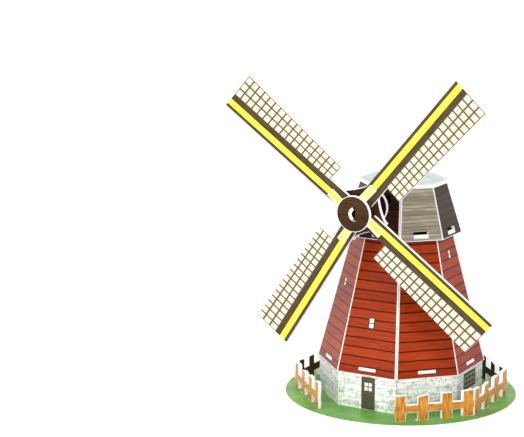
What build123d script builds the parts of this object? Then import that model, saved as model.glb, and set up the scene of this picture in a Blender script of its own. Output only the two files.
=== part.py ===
"""A windmill model that slots together from printed foam-core card.

Frame: millimetres, +Z up, origin at the centre of the base's underside. The hub and the
door look along -Y. The eight sides carry letters, going round from the front left:
A, B (door side), C, D, E, F, G and H.
"""

import os
from math import cos, radians, sin, tan

from build123d import *

os.makedirs("parts", exist_ok=True)

# ---- driving dimensions -------------------------------------------------------------
BOARD = 2.0            # thickness of the foam-core card
BASE_R = 66.0
SIDES = 8
JOINT_GAP = 0.12       # half the open line between two panels that meet edge to edge
SLOT_PLAY = 0.15       # play round a tab in its slot
FLOOR_PLAY = 0.05      # play between a floor plate and the boards round it

STONE_APOTHEM = 42.9   # outside of the stone strip, centre to flat
STONE_TOP = 21.6

TOWER_FOOT_APOTHEM = 43.8
TOWER_BATTER = 0.243   # loss of apothem for each mm of height
TOWER_TOP = 97.0

CAP_FOOT = 95.5
CAP_TOP = 123.3
CAP_FOOT_APOTHEM = 30.6
CAP_BATTER = 0.288
ROOF_APOTHEM = 23.0

LOWER_FLOOR_Z = 23.8   # underside of each floor plate
UPPER_FLOOR_Z = 95.0
CAP_FLOOR_Z = 97.0
TAB_WIDTH = 10.0
CAP_TAB_WIDTH = 8.0
CAP_TAB_PLAY = 0.5     # at each end of a tab in the cap
CAP_TAB_HEADROOM = 1.5  # above it

FENCE_APOTHEM = 56.0   # outside of the fence
FENCE_HEIGHT = 15.0
POST_WIDTH = 6.2
POST_TAB_WIDTH = 5.6
POST_OFFSETS = (-19.6, -6.6, 7.2, 19.6)
POST_TOPS = (15.0, 14.2, 14.6, 15.0)
RAIL_LOW, RAIL_HIGH = 4.6, 8.8

HUB = (0, -56.9, 115.7)
DROOP = 2.0            # degrees that the shaft's front end hangs down
SHAFT_R = 4.1          # outside of the rolled strip
SHAFT_SHIFT = 1.5      # from the turning axis to the middle of its curve
SHAFT_WALL = 1.8
SHAFT_HALF_ANGLE = 65
SHAFT_FRONT = 5.3      # distances along the shaft, forwards from the sails' face
SHAFT_BACK = -58.0
BORE_R = 3.9           # clears the strip's corners, which turn at a radius of 3.7
SLOT_FLAT = 1.2        # from the turning axis to the flat side of a D-shaped slot

# Along the shaft, forwards from the sails' face: the back of each plate on it.
DISC_R = 9.8
CROSS_BACK, CROSS_THICK = 1.5, 1.5
CROSS_REACH, CROSS_WIDTH, CROSS_OFFSET = 18.0, 4.4, 2.4
CROSS_CORE_R = 5.8
FRONT_DISC_BACK = CROSS_BACK + CROSS_THICK
STAR_BACK = -5.1
STAR_REACH, STAR_TIP_HALF, STAR_WAIST = 16.5, 3.4, 12.1
STAR_TURN = 12.0       # degrees that its points lead the sails
REAR_DISC_BACK = -17.5
STOP_DISC_R, STOP_DISC_BACK = 5.0, -55.5

# A sail is one flat board: a narrow spar from the hub, with the cloth frame widening the
# clockwise side of its outer three quarters.
SAIL_START, SAIL_LENGTH = 8.0, 92.9
FRAME_START, FRAME_EDGE = 22.8, 12.1
SPAR_ROOT_OUT, SPAR_TIP_OUT = 5.6, 10.6
SPAR_ROOT_IN, SPAR_FRAME_IN = 3.4, 2.4
# name: angle round the hub, lean back from the hub's plane, both in degrees
SAILS = {
    "sail_upper_right": (46.2, 0.0),
    "sail_upper_left": (138.2, -4.5),
    "sail_lower_left": (232.9, 3.0),
    "sail_lower_right": (318.2, 3.0),
}

BEARING_Y = -6.0
BEARING_HALF_WIDTH = 14.0
BEARING_TOP = 122.6
# Distances back along the shaft between which its bore is cut through a plate.
CAP_BORE = (-20, -40)
BEARING_BORE = (-45, -57)

FACE_ANGLE = {"A": 225, "B": 270, "C": 315, "D": 0, "E": 45, "F": 90, "G": 135, "H": 180}


# ---- helpers --------------------------------------------------------------------------
def save(builder, name):
    """Label a finished piece and write it."""
    builder.part.label = name
    export_step(builder.part, f"parts/{name}.step")


def octagon(apothem, mode=Mode.ADD):
    """An octagon with a flat side towards each face, in the current sketch."""
    RegularPolygon(apothem, SIDES, major_radius=False, rotation=180 / SIDES, mode=mode)


def face_plane(face, apothem, z=0.0):
    """An upright plane on one side: x runs along the side, y up, z outwards."""
    angle = radians(FACE_ANGLE[face])
    outward = Vector(cos(angle), sin(angle), 0)
    along = Vector(-sin(angle), cos(angle), 0)
    return Plane(origin=outward * apothem + Vector(0, 0, z), x_dir=along, z_dir=outward)


def sector(faces, reach=90.0):
    """A sketch of the slice of plan that neighbouring sides take, less half a joint line."""
    half = 180 / SIDES
    start = FACE_ANGLE[faces[0]] - half
    middle = radians(start + half * len(faces))
    tip = Vector(cos(middle), sin(middle)) * (JOINT_GAP / sin(radians(half * len(faces))))
    corners = [radians(start + 2 * half * step) for step in range(len(faces) + 1)]
    rim = [Vector(cos(angle), sin(angle)) * reach + tip for angle in corners]
    with BuildSketch() as slice_of_plan:
        with BuildLine():
            Polyline(tip, *rim, close=True)
        make_face()
    return slice_of_plan.sketch


def wall_depth(batter):
    """Level thickness of a leaning board."""
    return BOARD * (1 + batter**2) ** 0.5


def folded_panel(faces, foot_apothem, batter, foot_z, top_z, slot):
    """A leaning board folded over neighbouring sides, with a slot for a floor tab in each.

    slot is its width and the heights of its foot and top.
    """
    slot_width, slot_foot, slot_top = slot
    drop = batter * (top_z - foot_z)
    ends = ((foot_apothem, foot_z), (foot_apothem - drop, top_z))
    with BuildPart() as panel:
        for inset, mode in ((0.0, Mode.ADD), (wall_depth(batter), Mode.SUBTRACT)):
            for apothem, z in ends:
                with BuildSketch(Plane.XY.offset(z)):
                    octagon(apothem - inset)
            loft(mode=mode)
        with BuildSketch(Plane.XY.offset(foot_z)):
            add(sector(faces))
        extrude(amount=top_z - foot_z, mode=Mode.INTERSECT)
        for face in faces:
            middle = (slot_foot + slot_top) / 2
            with BuildSketch(face_plane(face, foot_apothem - 3 * BOARD, middle)):
                Rectangle(slot_width, slot_top - slot_foot)
            extrude(amount=6 * BOARD, mode=Mode.SUBTRACT)
    return panel


def floor_plate(z, apothem, tab_reach=0.0, tab_width=0.0):
    """A level octagon, with a tab on each side where one is asked for."""
    with BuildPart() as plate:
        with BuildSketch(Plane.XY.offset(z)):
            octagon(apothem)
            if tab_reach:
                for angle in FACE_ANGLE.values():
                    out = Vector(cos(radians(angle)), sin(radians(angle)))
                    with Locations(out * (tab_reach - BOARD * 2)):
                        Rectangle(4 * BOARD, tab_width, rotation=angle)
        extrude(amount=BOARD)
    return plate


def apothem_at(foot_apothem, batter, foot_z, z):
    return foot_apothem - batter * (z - foot_z)


# ---- ground plate, with a slot for each stone tab and fence tab -------------------------
FENCES = {
    "fence_left": "A",
    "fence_front_right": "CD",
    "fence_rear_right": "EF",
    "fence_rear_left": "GH",
}
STONE_MID = STONE_APOTHEM - BOARD / 2
FENCE_MID = FENCE_APOTHEM - BOARD / 2
FENCE_TAB_OFFSET = POST_OFFSETS[2]

with BuildPart() as base_board:
    with BuildSketch():
        Circle(BASE_R)
    extrude(amount=BOARD)
    with BuildSketch():
        for face, angle in FACE_ANGLE.items():
            with Locations(face_plane(face, STONE_MID).origin):
                Rectangle(BOARD + 2 * SLOT_PLAY, TAB_WIDTH + 2 * SLOT_PLAY, rotation=angle)
        for face in "".join(FENCES.values()):
            plane = face_plane(face, FENCE_MID)
            for offset in (-FENCE_TAB_OFFSET, FENCE_TAB_OFFSET):
                with Locations(plane.origin + plane.x_dir * offset):
                    Rectangle(
                        BOARD + 2 * SLOT_PLAY,
                        POST_TAB_WIDTH + 2 * SLOT_PLAY,
                        rotation=FACE_ANGLE[face],
                    )
    extrude(amount=BOARD, mode=Mode.SUBTRACT)
save(base_board, "base_board")

# ---- stone strips: upright boards folded over four sides, tabbed into the ground plate ---
for name, faces in {"stone_wall_left": "GHAB", "stone_wall_right": "CDEF"}.items():
    with BuildPart() as stone_wall:
        with BuildSketch(Plane.XY.offset(BOARD)):
            octagon(STONE_APOTHEM)
            octagon(STONE_APOTHEM - BOARD, mode=Mode.SUBTRACT)
        extrude(amount=STONE_TOP - BOARD)
        with BuildSketch(Plane.XY.offset(BOARD)):
            add(sector(faces))
        extrude(amount=STONE_TOP - BOARD, mode=Mode.INTERSECT)
        for face in faces:
            with BuildSketch(face_plane(face, STONE_APOTHEM)):
                with Locations((0, BOARD)):
                    Rectangle(TAB_WIDTH, 2 * BOARD)
            extrude(amount=-BOARD)
    save(stone_wall, name)

# ---- tower: four leaning panels, each folded over two sides ------------------------------
tower_slot = (
    TAB_WIDTH + 2 * SLOT_PLAY,
    LOWER_FLOOR_Z - SLOT_PLAY,
    LOWER_FLOOR_Z + BOARD + SLOT_PLAY,
)
for name, faces in {
    "tower_front_left": "AB",
    "tower_front_right": "CD",
    "tower_rear_right": "EF",
    "tower_rear_left": "GH",
}.items():
    tower_panel = folded_panel(
        faces,
        TOWER_FOOT_APOTHEM,
        TOWER_BATTER,
        STONE_TOP,
        TOWER_TOP,
        tower_slot,
    )
    save(tower_panel, name)

# ---- floors: level plates that hold the panels apart ------------------------------------
lower_rim = apothem_at(TOWER_FOOT_APOTHEM, TOWER_BATTER, STONE_TOP, LOWER_FLOOR_Z + BOARD)
lower_inside = lower_rim - wall_depth(TOWER_BATTER) - FLOOR_PLAY
save(floor_plate(LOWER_FLOOR_Z, lower_inside, lower_rim, TAB_WIDTH), "lower_floor")

upper_rim = apothem_at(TOWER_FOOT_APOTHEM, TOWER_BATTER, STONE_TOP, UPPER_FLOOR_Z + BOARD)
upper_inside = upper_rim - wall_depth(TOWER_BATTER) - FLOOR_PLAY
save(floor_plate(UPPER_FLOOR_Z, upper_inside), "upper_floor")

cap_rim = apothem_at(CAP_FOOT_APOTHEM, CAP_BATTER, CAP_FOOT, CAP_FLOOR_Z + BOARD)
cap_inside = cap_rim - wall_depth(CAP_BATTER) - FLOOR_PLAY
save(floor_plate(CAP_FLOOR_Z, cap_inside, cap_rim, CAP_TAB_WIDTH), "cap_floor")

# ---- cap: four short leaning panels round the floor plate, with a lid --------------------
rotor = Plane(
    origin=HUB,
    x_dir=(1, 0, 0),
    z_dir=(0, -cos(radians(DROOP)), -sin(radians(DROOP))),
)

cap_slot = (
    CAP_TAB_WIDTH + 2 * CAP_TAB_PLAY,
    CAP_FLOOR_Z - SLOT_PLAY,
    CAP_FLOOR_Z + BOARD + CAP_TAB_HEADROOM,
)
for name, faces in {
    "cap_front_left": "AB",
    "cap_front_right": "CD",
    "cap_rear_right": "EF",
    "cap_rear_left": "GH",
}.items():
    leaves = folded_panel(
        faces,
        CAP_FOOT_APOTHEM,
        CAP_BATTER,
        CAP_FOOT,
        CAP_TOP,
        cap_slot,
    )
    with BuildPart() as cap_panel:
        add(leaves.part)
        if "B" in faces:
            with BuildSketch(rotor.offset(CAP_BORE[0])):
                Circle(BORE_R)
            extrude(amount=CAP_BORE[1] - CAP_BORE[0], mode=Mode.SUBTRACT)
    save(cap_panel, name)

with BuildPart() as cap_roof:
    with BuildSketch(Plane.XY.offset(CAP_TOP)):
        octagon(ROOF_APOTHEM)
    extrude(amount=BOARD)
save(cap_roof, "cap_roof")

# ---- shaft bearing: an upright plate on the cap floor ------------------------------------
with BuildPart() as shaft_bearing:
    with BuildSketch(Plane.XZ.offset(-BEARING_Y)):
        floor_top = CAP_FLOOR_Z + BOARD
        with Locations((0, (floor_top + BEARING_TOP) / 2)):
            Rectangle(2 * BEARING_HALF_WIDTH, BEARING_TOP - floor_top)
    extrude(amount=-BOARD)
    with BuildSketch(rotor.offset(BEARING_BORE[0])):
        Circle(BORE_R)
    extrude(amount=BEARING_BORE[1] - BEARING_BORE[0], mode=Mode.SUBTRACT)
save(shaft_bearing, "shaft_bearing")

# ---- fences: post-and-rail strips, die cut in one piece and folded over the sides --------
for name, faces in FENCES.items():
    with BuildPart() as fence:
        side = 2 * FENCE_APOTHEM * tan(radians(180 / SIDES))
        for face in faces:
            with BuildSketch(face_plane(face, FENCE_APOTHEM, BOARD)):
                with Locations((0, (RAIL_LOW + RAIL_HIGH) / 2)):
                    Rectangle(side, RAIL_HIGH - RAIL_LOW)
                for offset, top in zip(POST_OFFSETS, POST_TOPS):
                    with Locations((offset, top / 2)):
                        Rectangle(POST_WIDTH, top)
                for offset in (-FENCE_TAB_OFFSET, FENCE_TAB_OFFSET):
                    with Locations((offset, 0)):
                        Rectangle(POST_TAB_WIDTH, 2 * BOARD)
            extrude(amount=-BOARD)
        with BuildSketch():
            add(sector(faces))
        extrude(amount=BOARD + FENCE_HEIGHT, mode=Mode.INTERSECT)
    save(fence, name)


# ---- rotor: everything that turns with the shaft -----------------------------------------
def shaft_slot():
    """The slot for the rolled shaft: part of a round hole, with a flat right-hand side."""
    with BuildSketch(mode=Mode.PRIVATE) as slot:
        with Locations((SHAFT_SHIFT, 0)):
            Circle(SHAFT_R)
        with Locations((SLOT_FLAT + SHAFT_R, 0)):
            Rectangle(2 * SHAFT_R, 2 * SHAFT_R, mode=Mode.SUBTRACT)
    return slot.sketch


def slotted_disc(radius, back, thickness=BOARD):
    """A round plate on the shaft."""
    with BuildPart() as disc:
        with BuildSketch(rotor.offset(back)):
            Circle(radius)
            add(shaft_slot(), mode=Mode.SUBTRACT)
        extrude(amount=thickness)
    return disc


with BuildPart() as windshaft:
    with BuildSketch(rotor.offset(SHAFT_BACK)):
        with BuildLine():
            curve = (180 - SHAFT_HALF_ANGLE, 2 * SHAFT_HALF_ANGLE)
            outer = CenterArc((SHAFT_SHIFT, 0), SHAFT_R, *curve)
            inner = CenterArc((SHAFT_SHIFT, 0), SHAFT_R - SHAFT_WALL, *curve)
            Line(outer @ 0, inner @ 0)
            Line(outer @ 1, inner @ 1)
        make_face()
    extrude(amount=SHAFT_FRONT - SHAFT_BACK)
save(windshaft, "windshaft")

for name, (angle, lean) in SAILS.items():
    turn = radians(angle)
    tilt = radians(lean)
    outward = rotor.x_dir * cos(turn) + rotor.y_dir * sin(turn)
    along = outward * cos(tilt) - rotor.z_dir * sin(tilt)
    normal = rotor.z_dir * cos(tilt) + outward * sin(tilt)
    with BuildPart() as sail:
        with BuildSketch(Plane(origin=HUB, x_dir=along, z_dir=normal)):
            with BuildLine():
                Polyline(
                    (SAIL_START, SPAR_ROOT_OUT),
                    (SAIL_LENGTH, SPAR_TIP_OUT),
                    (SAIL_LENGTH, -FRAME_EDGE),
                    (FRAME_START, -FRAME_EDGE),
                    (FRAME_START, -SPAR_FRAME_IN),
                    (SAIL_START, -SPAR_ROOT_IN),
                    close=True,
                )
            make_face()
        extrude(amount=-BOARD)
    save(sail, name)

# Each arm of the cross lies over the yellow line of its sail, to one side of the hub.
with BuildPart() as hub_cross:
    with BuildSketch(rotor.offset(CROSS_BACK)):
        for angle, _ in SAILS.values():
            out = Vector(cos(radians(angle)), sin(radians(angle)))
            side_way = Vector(-out.Y, out.X)
            with Locations(out * CROSS_REACH / 2 + side_way * CROSS_OFFSET):
                Rectangle(CROSS_REACH, CROSS_WIDTH, rotation=angle)
        Circle(CROSS_CORE_R)
        add(shaft_slot(), mode=Mode.SUBTRACT)
    extrude(amount=CROSS_THICK)
save(hub_cross, "hub_cross")

save(slotted_disc(DISC_R, FRONT_DISC_BACK), "front_disc")

with BuildPart() as star_plate:
    with BuildSketch(rotor.offset(STAR_BACK)):
        angles = [angle + STAR_TURN for angle, _ in SAILS.values()]
        with BuildLine():
            for here, after in zip(angles, angles[1:] + [angles[0] + 360]):
                tips = []
                for angle, half in ((here, STAR_TIP_HALF), (after, -STAR_TIP_HALF)):
                    out = Vector(cos(radians(angle)), sin(radians(angle)))
                    side_way = Vector(-out.Y, out.X)
                    tips.append(out * STAR_REACH + side_way * half)
                out = Vector(cos(radians(here)), sin(radians(here)))
                side_way = Vector(-out.Y, out.X)
                Line(out * STAR_REACH - side_way * STAR_TIP_HALF, tips[0])
                middle = radians((here + after) / 2)
                waist = Vector(cos(middle), sin(middle)) * STAR_WAIST
                ThreePointArc(tips[0], waist, tips[1])
        make_face()
        add(shaft_slot(), mode=Mode.SUBTRACT)
    extrude(amount=BOARD)
save(star_plate, "star_plate")

save(slotted_disc(DISC_R, REAR_DISC_BACK), "rear_disc")
save(slotted_disc(STOP_DISC_R, STOP_DISC_BACK), "stop_disc")
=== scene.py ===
"""A slot-together windmill of printed foam-core card, finished piece by piece round its frame."""

from math import asin, atan2, cos, degrees, pi, radians, sin, tan

import bmesh
import bpy
from mathutils import Matrix, Vector, geometry


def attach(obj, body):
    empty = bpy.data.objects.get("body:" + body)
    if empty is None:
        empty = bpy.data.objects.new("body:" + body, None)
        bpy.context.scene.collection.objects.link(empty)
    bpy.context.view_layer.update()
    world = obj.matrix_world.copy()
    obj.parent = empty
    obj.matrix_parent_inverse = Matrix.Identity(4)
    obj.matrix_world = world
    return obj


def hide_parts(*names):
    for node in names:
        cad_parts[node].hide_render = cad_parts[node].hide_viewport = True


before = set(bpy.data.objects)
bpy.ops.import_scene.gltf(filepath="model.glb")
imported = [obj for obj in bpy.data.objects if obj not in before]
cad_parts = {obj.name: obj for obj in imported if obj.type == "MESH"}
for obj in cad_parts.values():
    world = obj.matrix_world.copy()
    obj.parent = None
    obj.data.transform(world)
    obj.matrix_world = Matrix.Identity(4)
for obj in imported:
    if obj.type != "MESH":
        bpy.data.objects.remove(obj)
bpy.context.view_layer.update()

# ---- ground plate -------------------------------------------------------------------------
# A round plate of 2 mm foam-core card: a white polystyrene foam core between two coated paper
# skins, the upper one printed as a lawn. It is die cut, with a slot for each stone tab and
# fence tab, and its cut rim shows the matt foam between two thin lines of paper.
MM = 0.001
BOARD = 2.0
SKIN = 0.22
CORNER_WEAR = 0.12
SLOT_PLAY = 0.15
BASE_R, PLATE_MARGIN = 66.0, 0.25
SIDES = {"A": 225, "B": 270, "C": 315, "D": 0, "E": 45, "F": 90, "G": 135, "H": 180}
STONE_MID, STONE_TAB = 41.9, 10.0
FENCE_MID, FENCE_TABS, POST_TAB = 55.0, (-7.2, 7.2), 5.6


def linear(code):
    """The linear colour of an sRGB hex value."""
    parts = [int(code[start : start + 2], 16) / 255 for start in (1, 3, 5)]
    return [c / 12.92 if c <= 0.04045 else ((c + 0.055) / 1.055) ** 2.4 for c in parts] + [1.0]


def put(tree, kind, links=None, **settings):
    """Add a shader node. links gives each input a node, a socket or a plain value."""
    node = tree.nodes.new("ShaderNode" + kind)
    for key, value in settings.items():
        setattr(node, key, value)
    for key, value in (links or {}).items():
        if isinstance(value, bpy.types.Node):
            value = value.outputs[0]
        if isinstance(value, bpy.types.NodeSocket):
            tree.links.new(value, node.inputs[key])
        else:
            node.inputs[key].default_value = value
    return node


def tones(tree, value, *stops):
    """A colour from a value: each stop is a place and an sRGB hex colour."""
    ramp = put(tree, "ValToRGB", {0: value})
    bands = ramp.color_ramp.elements
    while len(bands) < len(stops):
        bands.new(0.5)
    for band, (place, code) in zip(bands, stops):
        band.position = place
        band.color = linear(code)
    return ramp


def coated_paper(name, paint, roughness=0.45, coat=0.0):
    """Offset-printed coated paper, glued on foam.

    It has a soft sheen that is broken by the fibres and by a slow swell of the skin.
    paint(tree, place) gives its colour, where place is in millimetres on the print.
    """
    material = bpy.data.materials.new(name)
    material.use_nodes = True
    tree = material.node_tree
    tree.nodes.clear()
    place = put(tree, "UVMap", uv_map="print")
    colour = paint(tree, place)
    spot = put(tree, "TexCoord").outputs["Object"]
    # Fibres are drawn 0.35 mm apart, coarser than the real 0.03 mm, so that they show.
    fibre = put(tree, "TexNoise", {"Vector": spot, "Scale": 2800.0, "Detail": 3.0})
    swell = put(tree, "TexNoise", {"Vector": spot, "Scale": 160.0, "Detail": 1.0})
    height = put(tree, "Math", {0: swell, 1: 6.0, 2: fibre}, operation="MULTIPLY_ADD")
    bump = put(tree, "Bump", {"Height": height, "Strength": 0.35, "Distance": 0.00004})
    gloss = put(
        tree,
        "MapRange",
        {"Value": fibre, "To Min": roughness - 0.05, "To Max": roughness + 0.07},
    )
    shader = put(
        tree,
        "BsdfPrincipled",
        {
            "Base Color": colour,
            "Roughness": gloss,
            "Normal": bump,
            "Specular IOR Level": 0.15,
            "Coat Weight": coat,
            "Coat Roughness": 0.22,
        },
    )
    put(tree, "OutputMaterial", {"Surface": shader})
    return material


def plain(code, dark):
    """A paint for one ink, mottled a little as offset print is."""

    def paint(tree, place):
        mottle = put(tree, "TexNoise", {"Vector": place, "Scale": 0.9, "Detail": 5.0})
        return tones(tree, mottle, (0.3, dark), (0.62, code))

    return paint


def foam_core(name, code, shade):
    """Cut polystyrene foam: matt white, with a fine cell structure."""
    material = bpy.data.materials.new(name)
    material.use_nodes = True
    tree = material.node_tree
    tree.nodes.clear()
    spot = put(tree, "TexCoord").outputs["Object"]
    # Foam cells of about 0.25 mm.
    cells = put(tree, "TexVoronoi", {"Vector": spot, "Scale": 4000.0})
    bump = put(tree, "Bump", {"Height": cells, "Strength": 0.5, "Distance": 0.00006})
    shader = put(
        tree,
        "BsdfPrincipled",
        {
            "Base Color": tones(tree, cells, (0.0, shade), (0.45, code)),
            "Roughness": 0.85,
            "Normal": bump,
            "Subsurface Weight": 0.15,
            "Subsurface Radius": (0.001, 0.001, 0.001),
        },
    )
    put(tree, "OutputMaterial", {"Surface": shader})
    return material


def lawn(tree, place):
    """A printed lawn: short blades of light and dark green over wide soft patches."""
    patch = put(tree, "TexNoise", {"Vector": place, "Scale": 0.06, "Detail": 4.0})
    blades = put(tree, "TexNoise", {"Vector": place, "Scale": 0.8, "Detail": 6.0, "Roughness": 0.7})
    faint = put(tree, "Math", {0: patch, 1: 0.4}, operation="MULTIPLY")
    mix = put(tree, "Math", {0: blades, 1: 0.6, 2: faint}, operation="MULTIPLY_ADD")
    return tones(tree, mix, (0.36, "#3D7526"), (0.5, "#63993F"), (0.62, "#80B05D"))


WHITE_PAPER = coated_paper("white_paper", plain("#F7F7F4", "#ECECE8"), roughness=0.5)
FOAM = foam_core("foam_core", "#FBFBF8", "#DADAD6")
LAWN = coated_paper("lawn_print", lawn, 0.42, 0.15)


def new_card():
    """An empty card in millimetres, with the map that places its print."""
    card = bmesh.new()
    card.loops.layers.uv.new("print")
    return card


def die_cut(outline, holes=(), margin=0.3):
    """A printed skin cut to an outline, with a narrow unprinted margin on slot 1."""
    card = new_card()
    for loop in [outline, *holes]:
        corners = [card.verts.new((x, y, 0)) for x, y in loop]
        for start, end in zip(corners, corners[1:] + corners[:1]):
            card.edges.new((start, end))
    bmesh.ops.triangle_fill(card, edges=card.edges[:], use_beauty=True, normal=(0, 0, 1))
    if margin:
        rim = bmesh.ops.inset_region(
            card, faces=card.faces[:], thickness=margin, use_boundary=True, use_even_offset=True
        )
        for face in rim["faces"]:
            face.material_index = 1
    return card


def map_print(card, shift=(0.0, 0.0)):
    """Lay the print flat on a card that is still flat."""
    layer = card.loops.layers.uv["print"]
    for face in card.faces:
        for loop in face.loops:
            loop[layer].uv = (loop.vert.co.x + shift[0], loop.vert.co.y + shift[1])


def straight_down(co, depth):
    return Vector((co.x, co.y, -depth))


def thicken(card, move=straight_down, board=BOARD):
    """Grow a printed skin on slot 0 into full board.

    move(co, depth) says where a front point lies at that depth. The edges take slot 1 for
    paper and slot 2 for foam, and the back takes slot 3.
    """
    trail = card.verts.layers.int.new("front")
    fronts = []
    for count, vert in enumerate(card.verts):
        vert[trail] = count
        fronts.append(vert.co.copy())
    layer = list(card.faces)
    for depth, slot in ((SKIN, 1), (board - SKIN, 2), (board, 1)):
        known = set(card.faces)
        grown = bmesh.ops.extrude_face_region(card, geom=layer)["geom"]
        source, layer = layer, [part for part in grown if isinstance(part, bmesh.types.BMFace)]
        for part in grown:
            if isinstance(part, bmesh.types.BMVert):
                part.co = move(fronts[part[trail]], depth)
        for face in set(card.faces) - known - set(layer):
            face.material_index = slot
        # The faces it grew from would stay inside the board as a stray wall.
        if depth > SKIN:
            bmesh.ops.delete(card, geom=source, context="FACES")
    for face in layer:
        face.material_index = 3
    bmesh.ops.recalc_face_normals(card, faces=card.faces)


def finish_card(card, node, body, materials, wear=CORNER_WEAR):
    """Turn a card in millimetres into a piece that stands for its CAD node."""
    bmesh.ops.scale(card, vec=(MM, MM, MM), verts=card.verts)
    mesh = bpy.data.meshes.new(node + "_card")
    card.to_mesh(mesh)
    card.free()
    for material in materials:
        mesh.materials.append(material)
    piece = bpy.data.objects.new(node + "_card", mesh)
    bpy.context.scene.collection.objects.link(piece)
    worn = piece.modifiers.new("worn_corners", "BEVEL")
    worn.width = wear * MM
    worn.segments = 2
    worn.limit_method = "ANGLE"
    worn.angle_limit = radians(50)
    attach(piece, body)
    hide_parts(node)
    return piece


def circle(radius, count=96, start=0.0, sweep=360.0):
    """Points round a circle, or along part of one."""
    last = count if sweep == 360.0 else count - 1
    turns = [radians(start + sweep * step / last) for step in range(count)]
    return [(radius * cos(turn), radius * sin(turn)) for turn in turns]


def slot_in_plan(side, apothem, along, width):
    """The corners of a slot across the plan of one side."""
    turn = radians(SIDES[side])
    out, way = Vector((cos(turn), sin(turn))), Vector((-sin(turn), cos(turn)))
    deep, half = BOARD / 2 + SLOT_PLAY, width / 2 + SLOT_PLAY
    return [
        tuple(out * (apothem + deep * near) + way * (along + half * left))
        for near, left in ((-1, -1), (1, -1), (1, 1), (-1, 1))
    ]


slots = [slot_in_plan(side, STONE_MID, 0, STONE_TAB) for side in SIDES]
for side in "ACDEFGH":
    slots += [slot_in_plan(side, FENCE_MID, offset, POST_TAB) for offset in FENCE_TABS]
plate = die_cut(circle(BASE_R, 180), slots, margin=PLATE_MARGIN)
map_print(plate)
thicken(plate)
bmesh.ops.translate(plate, vec=(0, 0, BOARD), verts=plate.verts)
finish_card(plate, "base_board", "root", [LAWN, WHITE_PAPER, FOAM, WHITE_PAPER])

# ---- stone walls --------------------------------------------------------------------------
# Two strips with a pale rubble-stone print stand upright under the tower, each creased over
# four sides. Tabs along the foot go through the ground plate. The door and the windows are
# part of the print.
HALF_SIDE = tan(pi / 8)
HALF_GAP = 0.12
STONE_WALL = {"foot": 42.9, "batter": 0.0, "low": 0.0, "high": 21.6}
CREASE_WIDTH, CREASE_DEPTH = 0.42, 0.25
STONE_SEAM = 0.14


def score(card, point, across):
    """Divide a flat card's faces along a line through a point. across is square to the line."""
    bmesh.ops.bisect_plane(
        card,
        geom=card.verts[:] + card.edges[:] + card.faces[:],
        dist=0.001,
        plane_co=(*point, 0),
        plane_no=(*across, 0),
    )


def wall_leaf(shape, cuts, patches, margins, hem=0.0):
    """One flat side of an eight-sided wall, as a printed skin.

    cuts are (left, right, low, high) windows cut out of it, and patches give windows a slot.
    margins are the widths of white paper at its left and right edges, and hem along its foot.
    """
    card = new_card()
    reach = [(shape["foot"] - shape["batter"] * (z - shape["low"])) * HALF_SIDE
             for z in (shape["low"], shape["high"])]
    low, high = shape["low"], shape["high"]
    corners = [(-reach[0], low), (reach[0], low), (reach[1], high), (-reach[1], high)]
    card.faces.new([card.verts.new((x, y, 0)) for x, y in corners])
    lines = []
    for left, right, bottom, top in cuts + [window for window, slot in patches]:
        lines += [((x, 0), (1, 0)) for x in (left, right)]
        lines += [((0, y), (0, 1)) for y in (bottom, top)]
    slope = shape["batter"] * HALF_SIDE
    for sign, margin in ((-1, margins[0]), (1, margins[1])):
        lines.append(((sign * (reach[0] - margin), low), (1, sign * slope)))
    if hem:
        lines.append(((0, low + hem), (0, 1)))
    for point, across in lines:
        score(card, point, across)
    doomed = []
    for face in card.faces:
        middle = face.calc_center_median()
        edge = reach[0] - slope * (middle.y - low)
        for (left, right, bottom, top), slot in patches:
            if left < middle.x < right and bottom < middle.y < top:
                face.material_index = slot
        if not margins[0] - edge <= middle.x <= edge - margins[1] or middle.y < low + hem:
            face.material_index = 1
        for left, right, bottom, top in cuts:
            if left < middle.x < right and bottom < middle.y < top:
                doomed.append(face)
    bmesh.ops.delete(card, geom=doomed, context="FACES")
    return card


def stand_up(card, side, shape, creases):
    """Bend a flat leaf into its place, with any crease at its ends pressed in."""
    map_print(card, (60.0 * "ABCDEFGH".index(side), 0.0))
    turn = radians(SIDES[side])
    outward, along = Vector((cos(turn), sin(turn), 0)), Vector((-sin(turn), cos(turn), 0))
    for vert in card.verts:
        x, z = vert.co.x, vert.co.y
        apothem = shape["foot"] - shape["batter"] * (z - shape["low"])
        edge = apothem * HALF_SIDE - 0.01
        pressed = (creases[0] and x < -edge) or (creases[1] and x > edge)
        vert.co = outward * apothem + along * x
        vert.co *= 1 - CREASE_DEPTH / apothem if pressed else 1
        vert.co.z = z


def knit(card):
    """Join neighbouring sides all along a crease, where one has corners that the other lacks."""
    bmesh.ops.remove_doubles(card, verts=card.verts, dist=0.02)
    for vert in [vert for vert in card.verts if vert.is_boundary]:
        for edge in [edge for edge in card.edges if edge.is_boundary and vert not in edge.verts]:
            nearest, share = geometry.intersect_point_line(vert.co, *(end.co for end in edge.verts))
            if 0 < share < 1 and (nearest - vert.co).length < 0.02:
                bmesh.utils.edge_split(edge, edge.verts[0], share)
    bmesh.ops.remove_doubles(card, verts=card.verts, dist=0.02)


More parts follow.
